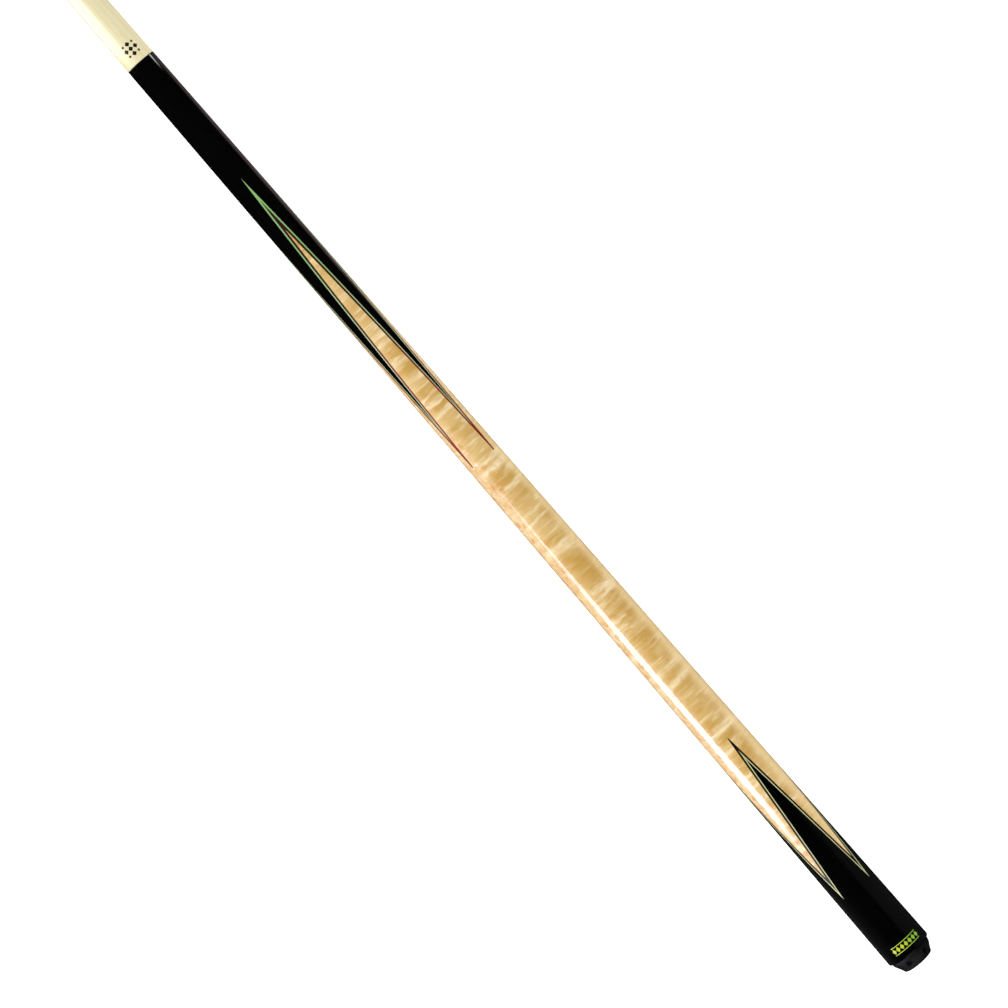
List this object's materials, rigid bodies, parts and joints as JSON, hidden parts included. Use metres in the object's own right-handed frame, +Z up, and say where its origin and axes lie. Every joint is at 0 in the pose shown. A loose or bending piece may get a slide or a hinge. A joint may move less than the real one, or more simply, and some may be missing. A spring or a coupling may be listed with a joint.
{
  "type": "pool cue",
  "caption": "Two-piece pool cue with a spliced, veneered butt, a maple shaft that unscrews from a steel joint pin, a leather tip and a rubber bumper.",
  "frame": {"origin": "on the ground below the middle of the cue, which is the joint face; the cue lies on its side, with the rim of its butt and the end of its shaft on the ground", "axes": "+X along the cue towards the tip, leaning down by 0.35 degrees because the cue tapers; +Z up; +Y across"},
  "size_m": [1.4733, 0.031, 0.031],
  "materials": {
    "black_forearm": "black wood under clear gloss lacquer",
    "black_sleeve": "black wood under clear gloss lacquer",
    "green_veneer": "dyed green veneer under gloss lacquer",
    "dark_veneer": "dyed dark maroon veneer under gloss lacquer",
    "cream_veneer": "pale yellow green veneer under gloss lacquer",
    "curly_maple": "stained curly maple under gloss lacquer",
    "shaft_maple": "fine sanded pale maple, satin",
    "steel": "turned steel",
    "brass": "turned brass",
    "rubber": "matte black moulded rubber",
    "ferrule_white": "polished off-white resin",
    "fibre": "pressed black fibre",
    "leather": "pressed leather, scuffed"
  },
  "bodies": {
    "butt": {"forearm": "black_forearm", "fore_veneer_green_1": "green_veneer", "fore_veneer_green_2": "green_veneer", "fore_veneer_green_3": "green_veneer", "fore_veneer_green_4": "green_veneer", "fore_veneer_dark_1": "dark_veneer", "fore_veneer_dark_2": "dark_veneer", "fore_veneer_dark_3": "dark_veneer", "fore_veneer_dark_4": "dark_veneer", "handle": "curly_maple", "sleeve_veneer_dark_1": "dark_veneer", "sleeve_veneer_dark_2": "dark_veneer", "sleeve_veneer_dark_3": "dark_veneer", "sleeve_veneer_dark_4": "dark_veneer", "sleeve_veneer_light_1": "cream_veneer", "sleeve_veneer_light_2": "cream_veneer", "sleeve_veneer_light_3": "cream_veneer", "sleeve_veneer_light_4": "cream_veneer", "butt_sleeve": "black_sleeve", "joint_pin": "steel"},
    "shaft_carrier": {"tip_pad": "fibre"},
    "shaft_half": {"shaft": "shaft_maple", "shaft_insert": "brass", "ferrule": "ferrule_white", "tip": "leather"},
    "bumper": {"bumper": "rubber"},
    "bumper_screw": {"bumper_screw": "steel"},
    "weight_bolt": {"weight_bolt": "steel"}
  },
  "joints": [
    {"name": "shaft_travel", "type": "slide", "parent": "butt", "child": "shaft_carrier", "axis": [1, 0, -0.0062], "range_m": [0, 0.0254]},
    {"name": "shaft_turn", "type": "hinge", "parent": "shaft_carrier", "child": "shaft_half", "pos_m": [0, 0, 0.01101], "axis": [1, 0, -0.0062], "range_deg": [0, 5041]},
    {"name": "bumper_travel", "type": "slide", "parent": "butt", "child": "bumper", "axis": [-1, 0, 0.0062], "range_m": [0, 0.01411]},
    {"name": "bumper_screw_turn", "type": "hinge", "parent": "bumper", "child": "bumper_screw", "pos_m": [0, 0, 0.01101], "axis": [-1, 0, 0.0062], "range_deg": [0, 3601]},
    {"name": "weight_bolt_travel", "type": "slide", "parent": "butt", "child": "weight_bolt", "axis": [-1, 0, 0.0062], "range_m": [0, 0.0098]}
  ],
  "couplings": [
    {"joint": "shaft_turn", "follows": "shaft_travel", "rad_per_m": 3463.2},
    {"joint": "bumper_screw_turn", "follows": "bumper_travel", "rad_per_m": 4452.7}
  ]
}
